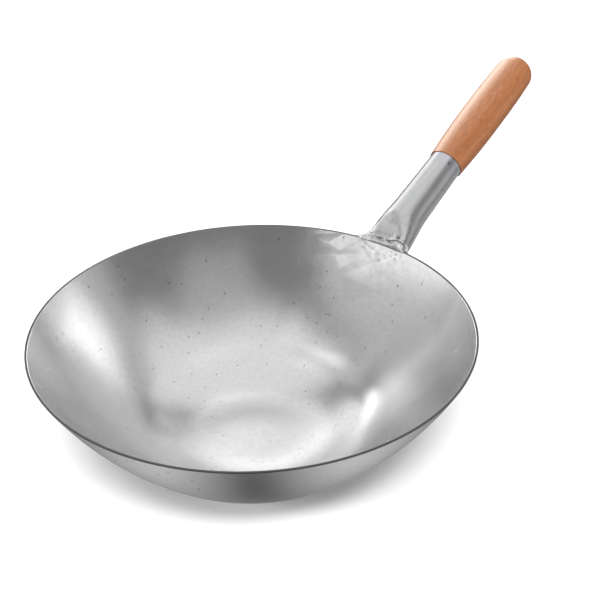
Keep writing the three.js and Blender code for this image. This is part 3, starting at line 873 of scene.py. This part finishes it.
def make_wall_weld(material):
    """Fillet weld between the outer wall and the sides and underside of the socket's foot."""
    angle = np.linspace(-math.pi - WALL_WELD_PAST_TOP, WALL_WELD_PAST_TOP, WELD_STEPS)
    start = joint_distance(angle, 0)
    joint = from_handle(socket_points(start, angle, 0))
    rise = unit_rows(from_handle(socket_points(start + WALL_WELD_PROBE, angle, 0)) - joint)
    side = unit_rows(np.gradient(joint, axis=0))
    azimuth = np.arctan2(joint[:, 1], joint[:, 0])
    lean = np.arcsin((wall_radius_at(joint[:, 2]) - wall_centre_r) / WALL_RADIUS)
    level = np.sin(lean)
    wall_normal = np.stack([level * np.cos(azimuth), level * np.sin(azimuth), -np.cos(lean)], axis=1)
    spread = np.cross(side, wall_normal)
    centre = from_handle(np.stack([start, 0 * start, 0 * start], axis=1))
    spread *= np.sign(np.sum(spread * (joint - centre), axis=1))[:, None]
    left = smoothstep(joint[:, 1], *WALL_WELD_SIDES)[:, None]
    top = joint + rise * blend(*WALL_WELD_UP, left)
    toe = joint + spread * blend(*WALL_WELD_OUT, left) - wall_normal * WALL_WELD_SINK
    hollow = joint + (rise + spread) * WALL_WELD_HOLLOW
    root = joint - (rise + spread) * WALL_WELD_ROOT
    steps = np.linspace(0, 1, WALL_WELD_POINTS)
    front = bent(top[:, None], hollow[:, None], toe[:, None], steps[None, :, None])
    push = unit_rows(rise + spread)[:, None]
    fade = np.sin(math.pi * steps)[None]
    front = roughened(front, weld_run(joint), np.broadcast_to(push, front.shape), fade)
    sections = np.concatenate([front, root[:, None]], axis=1)
    return make_weld("wall_weld", sections, material, "wall_weld_bead")


# Grip and nail

def grip_section():
    """Radius and distance along the handle: tenon, shoulder, swelling body and rounded butt."""
    start = SOCKET_LENGTH + GRIP_SHOULDER_GAP
    belly = start + GRIP_BELLY_OFFSET
    butt = HANDLE_LENGTH - GRIP_BUTT_LENGTH
    swell = GRIP_BELLY_RADIUS - GRIP_START_RADIUS
    taper = GRIP_BELLY_RADIUS - GRIP_BUTT_RADIUS
    body_start = GRIP_BELLY_OFFSET - GRIP_EDGE_RADIUS
    tenon = [
        (TENON_RADIUS - TENON_CHAMFER, TENON_START),
        (TENON_RADIUS, TENON_START + TENON_CHAMFER),
        (TENON_RADIUS, start),
    ]
    edge = [(GRIP_START_RADIUS - GRIP_EDGE_RADIUS * (1 - math.sin(turn)),
             start + GRIP_EDGE_RADIUS * (1 - math.cos(turn)))
            for turn in np.linspace(0, math.pi / 2, GRIP_EDGE_STEPS)]
    rise = [(GRIP_BELLY_RADIUS - swell * left**2, belly - body_start * left)
            for left in np.linspace(1, 0, GRIP_BODY_STEPS)[1:]]
    fall = [(GRIP_BELLY_RADIUS - taper * part**3, blend(belly, butt, part))
            for part in np.linspace(0, 1, GRIP_BODY_STEPS)[1:]]
    round_end = [(GRIP_BUTT_RADIUS * math.cos(turn), butt + GRIP_BUTT_LENGTH * math.sin(turn))
                 for turn in np.linspace(0, math.pi / 2, GRIP_BUTT_STEPS)[1:-1]]
    return np.array(tenon + edge + rise + fall + round_end)


def make_grip():
    points, faces = lathed(grip_section(), GRIP_SIDES)
    piece = make_piece("grip", points, faces, grip_wood(), "wooden_grip")
    piece.matrix_world = handle_matrix
    return piece


def make_nail():
    """A small domed head on the socket, with its shank through the sheet into the tenon."""
    place = SOCKET_LENGTH - NAIL_SETBACK
    seat = float(socket_shape(np.array(place))[1]) + NAIL_SEAT_GAP
    tip = seat - NAIL_SHANK_LENGTH
    shank = [
        (NAIL_SHANK_RADIUS * NAIL_TIP_SHARE, tip),
        (NAIL_SHANK_RADIUS, tip + 2 * NAIL_SHANK_RADIUS),
        (NAIL_SHANK_RADIUS, seat),
    ]
    brim = [(NAIL_HEAD_RADIUS, seat)]
    dome = [(NAIL_HEAD_RADIUS * math.cos(turn),
             seat + NAIL_HEAD_HEIGHT * blend(NAIL_BRIM_SHARE, 1, math.sin(turn)))
            for turn in np.linspace(0, math.pi / 2, NAIL_DOME_STEPS)[:-1]]
    points, faces = lathed(np.array(shank + brim + dome), NAIL_SIDES)
    piece = make_piece("nail", points, faces, nail_steel(), "grip_nail")
    stand = Matrix.Rotation(NAIL_TURN, 4, "X") @ Matrix.Rotation(-math.pi / 2, 4, "Y")
    piece.matrix_world = handle_matrix @ Matrix.Translation((place, 0, 0)) @ stand
    return piece


# Stage

photo_to_part = Matrix.Rotation(-HANDLE_AZIMUTH, 4, "Z")


def turned(degrees, axis):
    return Matrix.Rotation(math.radians(degrees), 4, axis)


def make_camera():
    data = bpy.data.cameras.new("camera")
    data.sensor_width = CAMERA_SENSOR
    data.lens = CAMERA_LENS
    camera = bpy.data.objects.new("camera", data)
    bpy.context.scene.collection.objects.link(camera)
    tilt = Matrix.Rotation(math.pi / 2 - CAMERA_PITCH, 4, "X") @ Matrix.Rotation(-CAMERA_ROLL, 4, "Z")
    camera.matrix_world = photo_to_part @ Matrix.Translation(CAMERA_PLACE) @ tilt
    bpy.context.scene.camera = camera


def make_floor():
    """A plain white square that the steel does not mirror and that throws no light back."""
    half = FLOOR_SIZE / 2
    corners = [(-half, -half, 0), (half, -half, 0), (half, half, 0), (-half, half, 0)]
    mesh = bpy.data.meshes.new("floor")
    mesh.from_pydata(corners, [], [(0, 1, 2, 3)])
    material, _, shader = new_material("floor_white")
    shader.inputs["Base Color"].default_value = (*grey(FLOOR_TONE), 1)
    shader.inputs["Roughness"].default_value = 1.0
    shader.inputs["Specular IOR Level"].default_value = 0.0
    mesh.materials.append(material)
    floor = bpy.data.objects.new("floor", mesh)
    bpy.context.scene.collection.objects.link(floor)
    floor.visible_glossy = False
    floor.visible_diffuse = False
    return floor


def collected(name, pieces):
    group = bpy.data.collections.new(name)
    for piece in pieces:
        group.objects.link(piece)
    return group


def light_only(lamp, pieces):
    """Lets a lamp light just the given objects."""
    lamp.light_linking.receiver_collection = collected(lamp.name + "_receivers", pieces)


def shade_only(lamp, pieces):
    """Lets a lamp's shadows come from just the given objects."""
    lamp.light_linking.blocker_collection = collected(lamp.name + "_blockers", pieces)


def make_softbox(name, width, depth, radiance, place):
    """A rectangular light that shines along its own -Z."""
    data = bpy.data.lights.new(name, "AREA")
    data.shape = "RECTANGLE"
    data.size = width
    data.size_y = depth
    data.energy = radiance * math.pi * width * depth
    light = bpy.data.objects.new(name, data)
    bpy.context.scene.collection.objects.link(light)
    light.matrix_world = photo_to_part @ place
    light.visible_camera = False
    return light


def make_panel(name, azimuth, elevation, width, height, turn, distance, radiance):
    """A softbox that faces the bowl."""
    aim = turned(-azimuth, "Z") @ turned(elevation - 90, "X")
    place = aim @ Matrix.Translation((0, 0, distance)) @ turned(turn, "Z")
    across = 2 * distance * math.tan(math.radians(width / 2))
    tall = 2 * distance * math.tan(math.radians(height / 2))
    return make_softbox(name, across, tall, radiance, place)


def make_ceiling(name, centre, width, depth, turn, radiance):
    """A level softbox above the bowl."""
    place = Matrix.Translation(Vector((*centre, 1)) * CEILING_HEIGHT) @ turned(turn, "Z")
    return make_softbox(name, width * CEILING_HEIGHT, depth * CEILING_HEIGHT, radiance, place)


def make_world():
    """Even dim light from above. Below, what the bowl's underside mirrors is dark in the middle, brighter
    at the sides and even towards the horizon. It does not light the floor, so that the shadow stays dark.
    What is seen of the world beyond the floor is white."""
    world = bpy.data.worlds.new("studio")
    world.use_nodes = True
    tree = world.node_tree
    direction = add_node(tree, "TexCoord").outputs["Generated"]
    height = split(tree, direction)[2]
    photo_right = photo_to_part @ Vector((1, 0, 0))
    aside = add_node(tree, "VectorMath", {0: direction, 1: photo_right}, operation="DOT_PRODUCT")
    aside = calc(tree, "ABSOLUTE", calc(tree, "SUBTRACT", aside.outputs["Value"], LOW_MIDDLE))
    low = remap(tree, aside, *LOW_SIDES, LOW_DARK, LOW_BRIGHT)
    low = mix_value(tree, rising(tree, height, *LOW_HEIGHTS), low, LOW_FAR)
    path = add_node(tree, "LightPath").outputs
    low = times(tree, low, remap(tree, path["Diffuse Depth"], 0, 1, 1, 0))
    strength = mix_value(tree, rising(tree, height, *LOW_END), low, WORLD_LIGHT)
    strength = mix_value(tree, path["Is Camera Ray"], strength, BACKGROUND)
    background = tree.nodes["Background"]
    tree.links.new(strength, background.inputs["Strength"])
    background.inputs["Color"].default_value = (1, 1, 1, 1)
    bpy.context.scene.world = world


make_camera()
make_world()
bpy.context.scene.view_settings.view_transform = "Standard"

weld_metal = weld_steel()
bowl = make_bowl()
socket = [make_socket(), make_rim_weld(weld_metal), make_wall_weld(weld_metal), make_nail()]
grip = make_grip()
floor = make_floor()

# The steel does not mirror the grip
grip.visible_glossy = False

# Lamps, each for its own pieces. Only the bowl shades the floor, and the floor does not shade the socket
# from the light under it. The grip's shine only glosses it, in a cream tint, and its fill never does.
lit_pieces = {
    "bowl": [bowl],
    "handle": [*socket, grip],
    "socket": socket,
    "socket_low": socket,
    "grip": [grip],
    "grip_shine": [grip],
    "grip_fill": [grip],
    "floor": [floor],
}
lamps = [(make_ceiling(*ceiling), "bowl") for ceiling in CEILINGS]
lamps += [(make_panel(*panel), lit) for *panel, lit in PANELS]
for lamp, lit in lamps:
    light_only(lamp, lit_pieces[lit])
    if lit == "floor":
        shade_only(lamp, [bowl])
    if lit == "socket_low":
        shade_only(lamp, socket)
    if lit == "grip_shine":
        lamp.visible_diffuse = False
        lamp.data.color = SHINE_TINT
    if lit == "grip_fill":
        lamp.visible_glossy = False
